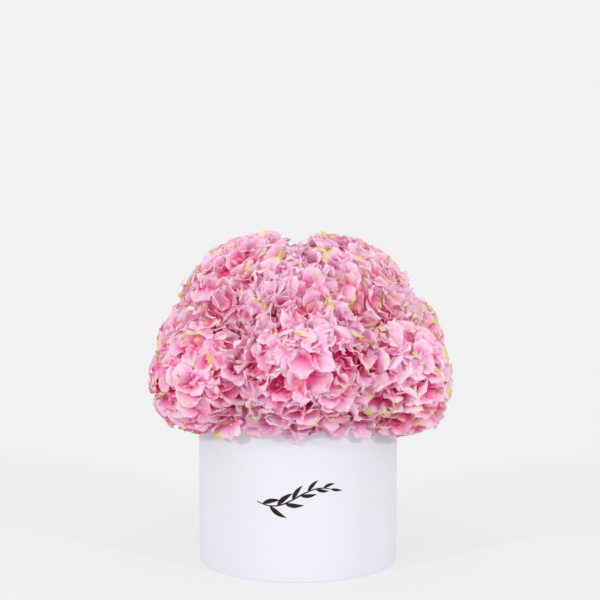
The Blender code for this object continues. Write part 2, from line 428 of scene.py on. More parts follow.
def sepal_material(look):
    """Thin satin sepal: rich pink at the heart, paler edges, faint veins and some cream or green tips.

    It reads where each point is on its sepal: sepal_place holds along, across and how green the tip is,
    and sepal_tint holds a chance value for the sepal, one for the floret, and the depth in the head.
    The troughs of the folds and the sepals that lie far inside a head get painted shade in their colour.
    """
    material, w, out = new_material("sepal_satin")
    place = w.node("ShaderNodeAttribute", attribute_name="sepal_place")
    tint = w.node("ShaderNodeAttribute", attribute_name="sepal_tint")
    along, across, green = w.node("ShaderNodeSeparateXYZ", {"Vector": place.outputs["Vector"]}).outputs
    sepal, floret, depth = w.node("ShaderNodeSeparateXYZ", {"Vector": tint.outputs["Vector"]}).outputs
    spot = w.spot()
    noise = w.node("ShaderNodeTexNoise", {"Vector": spot, "Scale": 110.0, "Detail": 3.0}).outputs["Fac"]
    waver = w.maths("SUBTRACT", noise, 0.5)

    side = w.maths("ABSOLUTE", across)
    wavy = w.plus(across, w.times(waver, 0.16))
    folds = w.maths("SINE", w.times(w.plus(wavy, sepal), 9.0))
    lines = w.times(wavy, 24.0)
    vein = w.ramp(w.maths("ABSOLUTE", w.maths("SINE", lines)), 0.0, 0.35, 1.0, 0.0)
    midrib = w.ramp(side, 0.0, 0.05, 1.0, 0.0)
    veins = w.maths("MAXIMUM", w.times(vein, 0.55), midrib)
    veins = w.times(veins, w.ramp(along, 0.75, 1.0, 1.0, 0.0))

    blush = w.ramp(w.plus(along, w.times(waver, 0.35)), 0.04, 0.72)
    flesh = w.blend(blush, look.heart, look.body)
    rim = w.maths("MAXIMUM", w.ramp(side, 0.50, 1.0), w.ramp(along, 0.66, 0.98))
    flesh = w.blend(w.times(rim, 0.68), flesh, look.edge)
    flesh = w.blend(w.times(veins, 0.34), flesh, look.heart)
    # Painted shade: the troughs of the folds that the bump draws are painted darker, towards the heart
    # colour, more so nearer the sepal's base.
    furrow_shade = w.times(w.ramp(folds, -1.0, -0.2, 1.0, 0.0), w.ramp(along, 0.3, 1.0, 1.0, 0.0))
    flesh = w.blend(w.times(furrow_shade, 0.24), flesh, look.heart)

    reach = w.plus(along, w.times(waver, 0.30))
    reach = w.plus(reach, w.times(green, 0.22))
    aged = w.times(w.ramp(reach, 0.80, 1.15), w.ramp(green, 0.0, 0.6))
    flesh = w.blend(aged, flesh, look.cream)
    greened = w.times(w.ramp(reach, 0.90, 1.14), w.ramp(green, 0.35, 0.8))
    flesh = w.blend(greened, flesh, look.green)

    hue = w.ramp(floret, 0.0, 1.0, 0.484, 0.508)
    strength = w.ramp(sepal, 0.0, 1.0, 0.84, 1.14)
    tone = w.ramp(floret, 0.0, 1.0, 0.95, 1.04)
    varied = w.node(
        "ShaderNodeHueSaturation", {"Hue": hue, "Saturation": strength, "Value": tone, "Color": flesh}
    ).outputs[0]
    # Painted shade: sepals lying far inside the heads' merged surface are painted towards dark magenta, in
    # place of the shade and pink bounce light there.
    shaded = w.blend(w.times(depth, 0.9), varied, look.deep_shade_pink)

    skin = w.group(grain_group(), Vector=spot, Scale=900.0, Stretch=1.0, Contrast=1.0)
    height = w.plus(w.times(veins, -0.35), w.times(skin.outputs[0], 0.15))
    height = w.plus(height, w.times(folds, 0.5))
    relief = w.node("ShaderNodeBump", {"Strength": 0.6, "Distance": 0.0009, "Height": height})
    shader = w.node(
        "ShaderNodeBsdfPrincipled",
        {
            "Base Color": shaded,
            "Roughness": w.ramp(skin.outputs[0], 0.2, 0.8, 0.48, 0.62),
            "Specular IOR Level": 0.15,
            "Normal": relief.outputs[0],
        },
    )
    # Light passing through a sepal takes the same colour, painted shade included, pushed further towards
    # the dark magenta.
    through = w.blend(0.4, shaded, look.deep_shade_pink)
    glow = w.node("ShaderNodeBsdfTranslucent", {"Color": through, "Normal": relief.outputs[0]})
    both = w.node("ShaderNodeMixShader", {0: 0.40, 1: shader.outputs[0], 2: glow.outputs[0]})
    # Light that came through a sepal's one side leaves by the other without being dyed again.
    inside = w.node("ShaderNodeNewGeometry").outputs["Backfacing"]
    passing = w.node("ShaderNodeBsdfTranslucent", {"Color": (1.0, 1.0, 1.0)})
    thin = w.node("ShaderNodeMixShader", {0: inside, 1: both.outputs[0], 2: passing.outputs[0]})
    w.feed(out.inputs["Surface"], thin.outputs[0])
    return material


# Mesh helpers -----------------------------------------------------------------------------------------


def add_piece(name, points, faces, material):
    """A smooth-shaded mesh piece, linked to the scene and riding on the one body."""
    mesh = bpy.data.meshes.new(name)
    mesh.from_pydata(points, [], faces)
    mesh.materials.append(material)
    mesh.shade_smooth()
    piece = bpy.data.objects.new(name, mesh)
    bpy.context.scene.collection.objects.link(piece)
    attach(piece, "root")
    return piece


def store(mesh, name, values):
    """A vector for each point of the mesh, kept for the material."""
    layer = mesh.attributes.new(name, "FLOAT_VECTOR", "POINT")
    layer.data.foreach_set("vector", np.ascontiguousarray(values, np.float32).ravel())


def unit(vectors):
    return vectors / np.maximum(np.linalg.norm(vectors, axis=-1, keepdims=True), 1e-12)


def level_radius(points):
    return np.hypot(points[..., 0], points[..., 1])


def points_of(node_name):
    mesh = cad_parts[node_name].data
    flat = np.empty(len(mesh.vertices) * 3, np.float32)
    mesh.vertices.foreach_get("co", flat)
    return flat.reshape(-1, 3).astype(float)


def surface_tree(node_names):
    """A tree of the surfaces of several nodes, for asking how near they are."""
    points, faces = [], []
    for name in node_names:
        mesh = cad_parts[name].data
        first = len(points)
        points += [vert.co for vert in mesh.vertices]
        faces += [[first + i for i in face.vertices] for face in mesh.polygons]
    return BVHTree.FromPolygons(points, faces)


def golden_directions(count, turn):
    """Directions spread evenly over a ball, along a golden spiral that starts at the angle turn."""
    i = np.arange(count)
    height = 1 - (2 * i + 1) / count
    angle = turn + i * math.pi * (3 - math.sqrt(5))
    level = np.sqrt(1 - height**2)
    return np.stack([level * np.cos(angle), level * np.sin(angle), height], axis=1)


def tubes(paths, radii, sides=6):
    """Points and faces of closed tubes along paths of (tube, station, xyz), with a radius for each."""
    count, stations = paths.shape[:2]
    skew = (0.31, 0.17, 0.93)
    ahead = unit(np.gradient(paths, axis=1))
    aside = unit(np.cross(ahead, skew))
    over = np.cross(ahead, aside)
    angle = np.arange(sides) * 2 * math.pi / sides
    ring = aside[:, :, None] * np.cos(angle)[:, None] + over[:, :, None] * np.sin(angle)[:, None]
    points = (paths[:, :, None] + ring * radii[:, :, None, None]).reshape(-1, 3)
    faces = []
    for tube in range(count):
        first = tube * stations * sides
        for station in range(stations - 1):
            low = first + station * sides
            for side in range(sides):
                turn = (side + 1) % sides
                faces.append((low + side, low + turn, low + sides + turn, low + sides + side))
        faces.append(tuple(first + side for side in reversed(range(sides))))
        last = first + (stations - 1) * sides
        faces.append(tuple(last + side for side in range(sides)))
    return points, faces


# Box --------------------------------------------------------------------------------------------------


def arc(centre, radius, start, end, steps=5):
    """Points of (across, height) on an arc, with its angles in degrees."""
    angles = np.radians(np.linspace(start, end, steps))
    return [(centre[0] + radius * math.cos(a), centre[1] + radius * math.sin(a)) for a in angles]


def wall_profile(look):
    """The wall's section as (across, height, how much the seam lifts it), round from the outer foot."""
    bend = look.edge_round
    inner = BOX_RADIUS - look.board
    outer_foot = arc((BOX_RADIUS - bend, bend), bend, -90, 0)
    outer_rim = arc((BOX_RADIUS - bend, RIM - bend), bend, 0, 90)
    inner_rim = arc((inner + bend, RIM - bend), bend, 90, 180)
    outside = [(x, z, 1.0) for x, z in outer_foot]
    outside += [(BOX_RADIUS, z, 1.0) for z in np.linspace(bend, RIM - bend, 12)[1:-1]]
    outside += [(x, z, 1.0) for x, z in outer_rim]
    inside = [(x, z, 0.0) for x, z in inner_rim]
    inside += [
        (inner, RIM - look.turn_in, 0.0),
        (inner + look.paper, RIM - look.turn_in - look.paper, 0.0),
        (inner + look.paper, bend, 0.0),
        (inner + look.paper + bend, 0.0, 0.0),
    ]
    return outside + inside


def seam_lift(angles, look):
    """How far the overlap at the back lifts the paper: a sharp step on one side, eased on the other."""
    across = (angles - math.pi / 2) * BOX_RADIUS
    half = look.seam_width / 2
    eased = 0.6 * half
    return look.paper * np.clip((across + half + eased) / eased, 0, 1) * (across < half)


def build_wall(look):
    """The board tube in its wrapping paper, with the overlap of the paper down the back."""
    profile = wall_profile(look)
    step = look.seam_width / 2 / BOX_RADIUS + math.pi / 2
    turn = np.linspace(0, 2 * math.pi, look.facets, endpoint=False)
    hair = 0.0001 / BOX_RADIUS
    angles = np.sort(np.concatenate([turn, [step - hair, step + hair]]))
    lift = seam_lift(angles, look)
    points = []
    for angle, raised in zip(angles, lift):
        for across, height, share_of_lift in profile:
            radius = across + raised * share_of_lift
            points.append((radius * math.cos(angle), radius * math.sin(angle), height))
    rows = len(profile)
    faces = []
    for i in range(len(angles)):
        following = (i + 1) % len(angles)
        for j in range(rows):
            up = (j + 1) % rows
            faces.append((i * rows + j, following * rows + j, following * rows + up, i * rows + up))
    piece = add_piece("box_wall_wrapped", points, faces, paper_material(look.paper_colour))
    piece.data.set_sharp_from_angle(angle=math.radians(40))
    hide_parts("box_wall")


# Sprig ------------------------------------------------------------------------------------------------


def sprig_stalk(look, steps=40):
    """The sprig's stalk as (across, up) from its middle: one long wave that flattens to the right."""
    left_share, waves, start = 0.56, 0.82, 3.5
    run = np.linspace(0, 1, steps)
    across = (run - left_share) * look.span
    wave = 0.10 * np.sin(run * 2 * math.pi * waves + start)
    climb = 0.07 * (run - 0.5)
    return np.stack([across, look.span * (wave + climb)], axis=1)


def leaf_outline(base, heading, long, wide, bend, steps=9):
    """Left and right edges of a pointed leaf that bends as it goes, in (across, up)."""
    run = np.linspace(0, 1, steps)
    turn = heading + bend * run
    move = np.stack([np.cos(turn), np.sin(turn)], axis=1) * long / (steps - 1)
    middle = base + np.concatenate([np.zeros((1, 2)), np.cumsum(move[:-1], axis=0)])
    side = np.stack([-np.sin(turn), np.cos(turn)], axis=1)
    half = np.maximum(wide / 2 * np.sin(math.pi * run**0.8) ** 0.9, wide * 0.02)
    return middle + side * half[:, None], middle - side * half[:, None]


def on_wall(flat, height, radius):
    """Points of (across, up) wrapped onto the front of the wall at a radius."""
    angle = flat[:, 0] / BOX_RADIUS
    return np.stack([radius * np.sin(angle), -radius * np.cos(angle), flat[:, 1] + height], axis=1)


def foil_strip(left, right, look):
    """A closed strip of foil between two edges, pressed onto the wall."""
    steps = len(left)
    under, over = BOX_RADIUS - look.proud, BOX_RADIUS + look.proud
    points = np.concatenate(
        [on_wall(edge, look.height, radius) for radius in (over, under) for edge in (left, right)]
    )
    top_left, top_right, low_left, low_right = (i * steps for i in range(4))
    faces = []
    for i in range(steps - 1):
        j = i + 1
        faces.append((top_right + i, top_right + j, top_left + j, top_left + i))
        faces.append((low_left + i, low_left + j, low_right + j, low_right + i))
        faces.append((top_left + i, top_left + j, low_left + j, low_left + i))
        faces.append((low_right + i, low_right + j, top_right + j, top_right + i))
    end = steps - 1
    faces.append((top_left, low_left, low_right, top_right))
    faces.append((top_right + end, low_right + end, low_left + end, top_left + end))
    return points, faces


def build_sprig(look):
    """A leafy sprig of dark foil on the front of the box."""
    stalk = sprig_stalk(look)
    heading = np.arctan2(*np.gradient(stalk, axis=0).T[::-1])
    side = np.stack([-np.sin(heading), np.cos(heading)], axis=1)
    run = np.linspace(0, 1, len(stalk))
    end_half, swelling = 0.00042, 0.00030
    leaves, longest_at, slim, curl = 9, 0.25, 0.24, 0.55
    half = (end_half + swelling * np.sin(math.pi * run))[:, None]
    strips = [(stalk + side * half, stalk - side * half)]
    for leaf, at in enumerate(np.linspace(0.10, 0.90, leaves)):
        i = int(at * (len(stalk) - 1))
        upper = 1 if leaf % 2 == 0 else -1
        long = look.leaf * (1.0 - 0.45 * abs(at - longest_at) / (1 - longest_at))
        lean = math.radians(46 - 12 * at) * upper
        strips.append(leaf_outline(stalk[i], heading[i] + lean, long, long * slim, -curl * upper))
    strips.append(leaf_outline(stalk[-1], heading[-1], look.leaf * 0.6, look.leaf * 0.14, 0.2))
    points, faces, first = [], [], 0
    for left, right in strips:
        strip_points, strip_faces = foil_strip(left, right, look)
        points.append(strip_points)
        faces += [tuple(first + i for i in face) for face in strip_faces]
        first += len(strip_points)
    foil = foil_material(look.foil_colour)
    piece = add_piece("foil_sprig", np.concatenate(points), faces, foil)
    piece.data.set_sharp_from_angle(angle=math.radians(30))


# Flower heads -----------------------------------------------------------------------------------------


class Layer(NamedTuple):
    """How one layer of a head's florets is made; each pair is the least and the most that is drawn"""

    grid: tuple  # points along and across a sepal
    openness: tuple  # how steeply the sepals rise, as a cup
    proud: tuple  # how far sepals may stand out of the heads' merged surface
    size: tuple = (0.76, 1.18)


RING_LAYER = Layer((9, 8), (0.0, 0.5), (-0.005, 0.0020))
LEFT_LAYER = RING_LAYER._replace(proud=(-0.010, -0.003))
CROWN_LAYER = RING_LAYER._replace(proud=(-0.003, 0.0030))
INNER_LAYER = Layer((5, 4), (0.0, 0.35), (0.0, 0.001))
RIM_LAYER = Layer((8, 7), (0.0, 0.25), (0.008, 0.013), (0.7, 1.0))


class Ball:
    """The ball that a flower head fills: the one that best fits the open side of its node."""

    def __init__(self, name, near=0.003, room=0.002, stray=0.006):
        self.name = name
        self.in_crown = name.startswith("crown")
        points = points_of("head_" + name)
        others = surface_tree(["head_" + other for other in HEADS if other != name])
        apart = np.array([others.find_nearest(Vector(point))[3] for point in points])
        by_box = (points[:, 2] < RIM + room) & (level_radius(points) < BOX_RADIUS + room)
        points = points[(apart > near) & ~by_box]
        for _ in range(3):
            self.fit(points)
            miss = np.abs(np.linalg.norm(points - self.centre, axis=1) - self.radius)
            points = points[miss < stray]

    def fit(self, points):
        """Least squares: each point gives one line of 2 p . centre + (r^2 - centre^2) = p^2."""
        rows = np.hstack([2 * points, np.ones((len(points), 1))])
        answer = np.linalg.lstsq(rows, (points**2).sum(axis=1), rcond=None)[0]
        self.centre = answer[:3]
        self.radius = math.sqrt(answer[3] + self.centre @ self.centre)


def gap(points, ball):
    """How far points are outside a ball."""
    return np.linalg.norm(points - ball.centre, axis=-1) - ball.radius


def buried(points, ball, balls):
    """How far each point lies inside the nearest other ball; negative outside all of them."""
    return -np.min([gap(points, other) for other in balls if other is not ball], axis=0)


def swell(points, balls, merge):
    """How far points stand out of the softly merged surface of all the balls; negative inside it."""
    gaps = [gap(points, other) for other in balls]
    return -merge * np.log(sum(np.exp(-apart / merge) for apart in gaps))


def turned_axes(facing, rng):
    """Axes that face these ways, each turned about its own way by chance."""
    spin = unit(np.cross(facing, rng.normal(0, 1, facing.shape)))
    return spin, np.cross(facing, spin), facing


def place_florets(ball, balls, count, inset, turn, rng, look):
    """Centres and axes of one layer of florets, where the head is open to the air.

    Low florets of the ring turn up towards the light, and the crown's face outwards more than up. One that
    turns away from the ball's outward direction sits deeper, so that its sepals end at the surface.
    """
    scatter, tilt, unevenness = 0.07, 0.25, 0.0014
    slant_share, fill_share = 0.56, 0.5
    crease, hang, overlap = 0.010, 0.014, 0.006
    inner_room, wall_room, rim_room, rim_cover = 0.005, 0.003, 0.004, 0.001
    outward = golden_directions(count, turn)
    outward = unit(outward + rng.normal(0, scatter, outward.shape))
    steep = 0.20 + 1.25 * np.clip(0.45 - outward[:, 2:], 0, 1.1)
    lift = steep * rng.uniform(0.4, 1.4, (count, 1))
    if ball.in_crown:
        lift = -0.45 * outward[:, 2:] * rng.uniform(0.2, 1.6, (count, 1))
    facing = unit(outward + lift * (0, 0, 1) + rng.normal(0, tilt, outward.shape))
    aslant = np.linalg.norm(np.cross(outward, facing), axis=1, keepdims=True)
    deeper = slant_share * look.sepal_length * aslant
    reach = ball.radius - inset - deeper + rng.normal(0, unevenness, (count, 1))
    surface = ball.centre + outward * ball.radius
    buried_in = buried(surface, ball, balls)
    fill = np.where(buried_in < crease, -swell(surface, balls, look.merge), 0.0)
    centres = ball.centre + outward * (reach + fill_share * fill[:, None])
    from_axis, height = level_radius(centres), centres[:, 2]
    over_foam = (from_axis < BOX_RADIUS - inner_room) & (height < RIM + rim_room)
    in_wall = (from_axis < BOX_RADIUS + wall_room) & (height < RIM - rim_cover)
    hanging = height < RIM - hang
    keep = (buried_in < inset + overlap) & ~over_foam & ~in_wall & ~hanging
    facing, centres = facing[keep], centres[keep]
    return centres, turned_axes(facing, rng)


def rim_florets(ball, balls, rng, spacing=0.0155):
    """Centres and axes of the florets that rest on the rim, where this ball is the nearest one."""
    lowest, highest, inwards, unevenness = 0.003, 0.010, 0.002, 0.0015
    outwards, upwards, tilt = 0.8, 0.75, 0.2
    count = round(2 * math.pi * BOX_RADIUS / spacing)
    angle = (np.arange(count) + rng.uniform(-0.25, 0.25, count)) * 2 * math.pi / count
    way = np.stack([np.cos(angle), np.sin(angle), 0 * angle], axis=1)
    centres = way * (BOX_RADIUS + rng.normal(-inwards, unevenness, (count, 1)))
    centres[:, 2] = RIM + rng.uniform(lowest, highest, count)
    near = np.argmin([gap(centres, other) for other in balls], axis=0) == balls.index(ball)
    facing = unit(outwards * way + (0, 0, upwards) + rng.normal(0, tilt, way.shape))[near]
    return centres[near], turned_axes(facing, rng)


def lean_in(points, ball, lean=0.34, rise=0.0022):
    """Tips the top of a crown head towards the middle, as crowded heads lean on each other."""
    if not ball.in_crown:
        return points
    height = np.clip((points[..., 2] - ball.centre[2]) / ball.radius, 0, 1.1)
    moved = points.copy()
    moved[..., 0] -= lean * ball.centre[0] * height**3
    moved[..., 2] += rise * height**2
    return moved


def settle(sheets, ball, balls, merge, proud):
    """Presses back what stands too far out of the heads or hangs too far below the rim."""
    spared, spared_over, hang, droop = 0.0030, 0.009, 0.010, 0.012
    away = sheets - ball.centre
    reach = np.linalg.norm(away, axis=-1, keepdims=True)
    over = np.maximum(swell(sheets, balls, merge) - proud[:, None, None], 0)[..., None]
    left_out = spared * (1 - np.exp(-over / spared_over))
    settled = ball.centre + away / reach * (reach - over + left_out)
    low = np.maximum(RIM - hang - settled[..., 2], 0)
    settled[..., 2] += low - droop * (1 - np.exp(-low / droop))
    return settled


def sepal_sheets(rng, count, look, along, across, openness):
    """Middle surfaces of sepals as (sepal, row, column, xyz): x across, y along, z up from the floret.

    A sepal is drawn as a share of its length and width, then cupped, ruffled, folded and twisted, each
    by an amount drawn for it alone.
    """

    def draw(low, high):
        return rng.uniform(low, high, (count, 1, 1))

    def wave(least, most):
        """Between least and most waves along each sepal, starting anywhere in a wave."""
        return np.sin(2 * math.pi * (draw(least, most) * s + draw(0, 1)))

    s = along[None, :, None]
    t = across[None, None, :]
    long = look.sepal_length * draw(0.82, 1.16)
    wide = look.sepal_width * draw(0.80, 1.18)
    rise_power, fall_power = draw(0.66, 0.92), draw(0.50, 0.74)
    peak = rise_power / (rise_power + fall_power)
    outline = s**rise_power * (1 - s) ** fall_power
    outline = outline / (peak**rise_power * (1 - peak) ** fall_power)
    left_wave, right_wave = 0.09 * wave(1.0, 2.2), 0.09 * wave(1.0, 2.2)
    half = wide / 2 * outline * (1 + np.where(t < 0, left_wave, right_wave) * np.abs(t))

    x = t * half
    y = s * long * (1 + draw(0.04, 0.17) * np.exp(-((t / 0.28) ** 2)) * s**6)
    rise = draw(-0.02, 0.24) + openness
    bend = draw(-0.7, 0.4)
    cup = draw(-0.4, 0.8)
    z = y * rise + bend * long * s**2 * 0.5 + cup * half * t**2 * 0.7
    left_ruffle, right_ruffle = wave(1.5, 3.4), wave(1.5, 3.4)
    ruffle = look.ruffle * draw(0.4, 1.5) * np.where(t < 0, left_ruffle, right_ruffle)
    z = z + ruffle * np.abs(t) ** 1.5 * np.minimum(1, 2.4 * s)
    fold = draw(-0.9, 0.9) * s**2 * np.cos(math.pi * (t * draw(0.6, 1.6) + draw(-0.4, 0.4)))
    z = z + look.ruffle * fold
    z = z - draw(-0.12, 0.20) * half * np.abs(t) ** 0.8

    twist = draw(-0.5, 0.5) * s
    x, z = x * np.cos(twist) - z * np.sin(twist) * 0.35, z + x * np.sin(twist)
    return np.stack([x + 0 * s, y + 0 * t, z], axis=-1)


def clear_of_box(sheets, margin=0.0011, shoulder=0.004):
    """Moves points that would cut into the box: out past the wall, or up over the rim."""
    across = level_radius(sheets)
    height = sheets[..., 2]
    inside = (height < RIM + margin) & (across < BOX_RADIUS + margin)
    outer = across.mean(axis=(1, 2), keepdims=True) > BOX_RADIUS - shoulder
    scale = np.where(inside & outer, (BOX_RADIUS + margin) / np.maximum(across, 1e-6), 1.0)
    moved = sheets.copy()
    moved[..., :2] *= scale[..., None]
    moved[..., 2] = np.where(inside & ~outer, RIM + margin, height)
    return moved


def sheet_faces(rows, columns):
    """Quads of one thin closed sheet: its upper points come first, row by row, then its lower points."""
    upper = np.arange(rows * columns).reshape(rows, columns)
    lower = upper + rows * columns
    top = np.stack([upper[:-1, :-1], upper[1:, :-1], upper[1:, 1:], upper[:-1, 1:]], axis=-1)
    bottom = np.stack([lower[:-1, :-1], lower[:-1, 1:], lower[1:, 1:], lower[1:, :-1]], axis=-1)
    edge = np.concatenate([upper[:, 0], upper[-1, 1:], upper[-2::-1, -1], upper[0, -2:0:-1]])
    after = np.roll(edge, -1)
    size = rows * columns
    rim = np.stack([edge + size, after + size, after, edge], axis=-1)
    return np.concatenate([top.reshape(-1, 4), bottom.reshape(-1, 4), rim])


def thicken(sheets, thickness, across, thinning=0.55):
    """Upper and lower points of sheets, thinner towards their long edges."""
    normal = unit(np.cross(np.gradient(sheets, axis=1), np.gradient(sheets, axis=2)))
    depth = thickness / 2 * (1 - thinning * np.abs(across)[None, None, :, None] ** 3)
    return np.stack([sheets + normal * depth, sheets - normal * depth], axis=1)


def sepal_map(count, rows, columns, along, across, faces):
    """A place on the bake map for each corner: each sepal has a cell, with its upper side on the left.

    The lower side is on the right, and the edge's thin faces take a narrow band round the upper side.
    """
    middle, half, foot, high, band = 0.25, 0.19, 0.06, 0.88, 0.06
    cells = math.ceil(math.sqrt(count))
    u = middle + half * across[None, :] + 0 * along[:, None]
    v = foot + high * along[:, None] + 0 * across[None, :]
    upper = np.stack([u, v], axis=-1).reshape(-1, 2)
    one = np.concatenate([upper, upper + (0.5, 0)])[faces]
    edge = one[2 * (rows - 1) * (columns - 1) :]
    for outer, inner in ((0, 3), (1, 2)):
        edge[:, outer] = edge[:, inner] + (edge[:, inner] - (middle, 0.5)) * band
    index = np.arange(count)
    corner = np.stack([index % cells, index // cells], axis=1)
    return (one[None] + corner[:, None, None]) / cells


class SepalBatch:
    """The points, faces, map places and kept values of a head's sepals, layer by layer."""

    def __init__(self):
        self.points, self.faces, self.places, self.tints, self.grids = [], [], [], [], []
        self.size = 0

    def add(self, sheets, thickness, along, across, tips, tints, depth):
        count, rows, columns = sheets.shape[:3]
        points = thicken(sheets, thickness, across).reshape(-1, 3)
        one = sheet_faces(rows, columns)
        each = 2 * rows * columns
        faces = one[None] + (np.arange(count) * each)[:, None, None] + self.size
        place = np.empty((count, 2, rows, columns, 3))
        place[..., 0] = along[None, None, :, None]
        place[..., 1] = across[None, None, None, :]
        place[..., 2] = tips[:, None, None, None]
        tint = np.empty_like(place)
        tint[..., :2] = tints[:, None, None, None]
        # The third value is the depth inside the heads, which the material turns into painted shade.
        tint[..., 2] = depth[:, None]
        self.points.append(points)
        self.faces.append(faces.reshape(-1, 4))
        self.places.append(place.reshape(-1, 3))
        self.tints.append(tint.reshape(-1, 3))
        self.grids.append((count, rows, columns, along, across, one))
        self.size += count * each

    def bake_places(self):
        """The layers' maps side by side, each as wide as its share of the sepals needs."""
        needs = np.array([count * (rows + 4) for count, rows, *_ in self.grids], float)
        starts = np.concatenate([[0], np.cumsum(needs)]) / needs.sum()
        placed = [
            sepal_map(*grid) * (wide, 1) + (start, 0)
            for grid, wide, start in zip(self.grids, np.diff(starts), starts)
        ]
        return np.concatenate([one.reshape(-1, 2) for one in placed])

    def build(self, name, material):
        faces = np.concatenate(self.faces).tolist()
        piece = add_piece(name, np.concatenate(self.points), faces, material)
        mesh = piece.data
        store(mesh, "sepal_place", np.concatenate(self.places))
        store(mesh, "sepal_tint", np.concatenate(self.tints))
        layer = mesh.uv_layers.new(name="OFBake")
        layer.uv.foreach_set("vector", self.bake_places().astype(np.float32).ravel())
        mesh.set_sharp_from_angle(angle=math.radians(62))
        return piece


def stations(count, base=0.09, tip=0.965):
    """Stations from a sepal's base to its tip, closer together near both ends."""
    return 0.5 - 0.5 * np.cos(np.linspace(base, tip, count) * math.pi)


def add_florets(batch, ball, balls, centres, axes, rng, look, layer):
    """Sepals of one layer of florets, mostly four each in two crossing pairs; returns their centres.

    A floret whose sepals stand up like a cup sits deeper, so that their tips end at the surface. Florets
    at the sides of the box are older: their tips are creamier or greener and their pink is warmer.
    """
    bud_room, pair_gap, cup_depth = 0.0006, 0.0011, 0.45
    shade_from, shade_over = 0.0045, 0.010
    old_from, old_over, warm_over = 0.08, 0.05, 0.12
    spin, aside, facing = axes
    open_by = rng.uniform(*layer.openness, len(centres))
    centres = centres - facing * (cup_depth * look.sepal_length * open_by)[:, None]
    numbers = rng.choice([3, 4, 5], size=len(centres), p=[0.10, 0.78, 0.12])
    floret = np.repeat(np.arange(len(centres)), numbers)
    turn_in_floret = np.concatenate([np.arange(number) / number for number in numbers])
    pair = np.concatenate([np.arange(number) % 2 for number in numbers])
    count = len(floret)
    angle = 2 * math.pi * turn_in_floret + rng.normal(0, 0.10, count)
    along, across = stations(layer.grid[0]), np.linspace(-1, 1, layer.grid[1])
    sheets = sepal_sheets(rng, count, look, along, across, open_by[floret, None, None])
    floret_scale = rng.uniform(*layer.size, len(centres))[floret, None, None]
    out = spin[floret] * np.cos(angle)[:, None] + aside[floret] * np.sin(angle)[:, None]
    beside = -spin[floret] * np.sin(angle)[:, None] + aside[floret] * np.cos(angle)[:, None]
    level = (pair - 0.5) * pair_gap
    x, y, z = (sheets[..., i] * floret_scale for i in range(3))
    placed = (
        centres[floret][:, None, None]
        + beside[:, None, None] * x[..., None]
        + out[:, None, None] * (y + bud_room)[..., None]
        + facing[floret][:, None, None] * (z + level[:, None, None])[..., None]
    )
    stand_out = rng.uniform(*layer.proud, count)
    placed = clear_of_box(settle(placed, ball, balls, look.merge, stand_out))
    sideways = np.abs(centres[:, 0])
    age = 0.40 * np.clip((sideways - old_from) / old_over, 0, 1) + rng.normal(0.08, 0.25, len(centres))
    tips = np.clip(rng.normal(0.0, 0.36, count) + age[floret], 0, 1)
    warmth = 0.7 * rng.uniform(0, 1, len(centres)) + 0.3 * np.clip(sideways / warm_over, 0, 1)
    tints = np.stack([rng.uniform(0, 1, count), warmth[floret]], axis=1)
    # Painted shade: how far each point lies inside the heads' merged surface, from 0 near it to 1 further
    # in; the material paints this as dark magenta shade.
    depth = np.clip((-shade_from - swell(placed, balls, look.merge)) / shade_over, 0, 1)
    batch.add(lean_in(placed, ball), look.sepal_thickness, along, across, tips, tints, depth)
    return lean_in(centres, ball)


def build_buds(name, centres, facing, rng, look, material):
    """A small four-lobed bud at the centre of each outer floret."""
    rings, sides, cap, lobing, squash = 5, 10, 0.30, 0.14, 0.8
    polar = np.linspace(cap, math.pi - cap, rings)[:, None]
    turn = np.arange(sides) * 2 * math.pi / sides
    lobes = 1 + lobing * np.cos(4 * turn)
    level = np.sin(polar) * lobes
    height = squash * np.cos(polar) + 0 * turn
    shape = np.stack([level * np.cos(turn), level * np.sin(turn), height], axis=-1).reshape(-1, 3)
    faces = []
    for ring in range(rings - 1):
        for side in range(sides):
            a, b = ring * sides + side, ring * sides + (side + 1) % sides
            faces.append((a, a + sides, b + sides, b))
    caps = [tuple(range(sides)), tuple(range(len(shape) - 1, len(shape) - sides - 1, -1))]
    axes = np.stack(turned_axes(facing, rng), axis=1)
    scale = look.bud * rng.uniform(0.8, 1.25, (len(centres), 1, 1))
    placed = shape @ axes * scale + (centres + facing * look.bud * 0.9)[:, None]
    every = [
        tuple(first + i for i in face)
        for first in range(0, len(centres) * len(shape), len(shape))
        for face in faces + caps
    ]
    return add_piece(name, placed.reshape(-1, 3), every, material)


def build_stalks(name, ball, centres, facing, look, material):
    """The head's branches from the top of its stem, and a thin stalk from a branch to each floret."""
    branches, branch_length, upright = 9, 0.022, 0.9
    branch_girth, stalk_girth = (2.4, 2.1, 1.8, 1.5), (1.3, 1.0, 0.9, 1.2)
    cut, raised, along_facing, along_ball = 0.001, 0.02, 0.006, 0.012
    stem = points_of("stem_" + ball.name)
    hub = stem[stem[:, 2] > stem[:, 2].max() - cut].mean(axis=0)
    into_head = unit(ball.centre - hub + (0, 0, raised))
    ways = unit(golden_directions(branches, 0.4) + upright * into_head)
    forks = hub + ways * branch_length
    start = forks[np.argmax(unit(centres - hub) @ ways.T, axis=1)]
    end = centres - facing * look.stalk
    bend = end - facing * along_facing - unit(end - ball.centre) * along_ball
    run = np.linspace(0, 1, len(stalk_girth))[None, :, None]
    left = 1 - run
    branch_paths = hub + (forks - hub)[:, None] * run
    stalk_paths = start[:, None] * left**2 + bend[:, None] * 2 * run * left + end[:, None] * run**2
    girths = np.array([branch_girth] * branches + [stalk_girth] * len(centres))
    points, faces = tubes(np.concatenate([branch_paths, stalk_paths]), girths * look.stalk)
    return add_piece(name, points, faces, material)


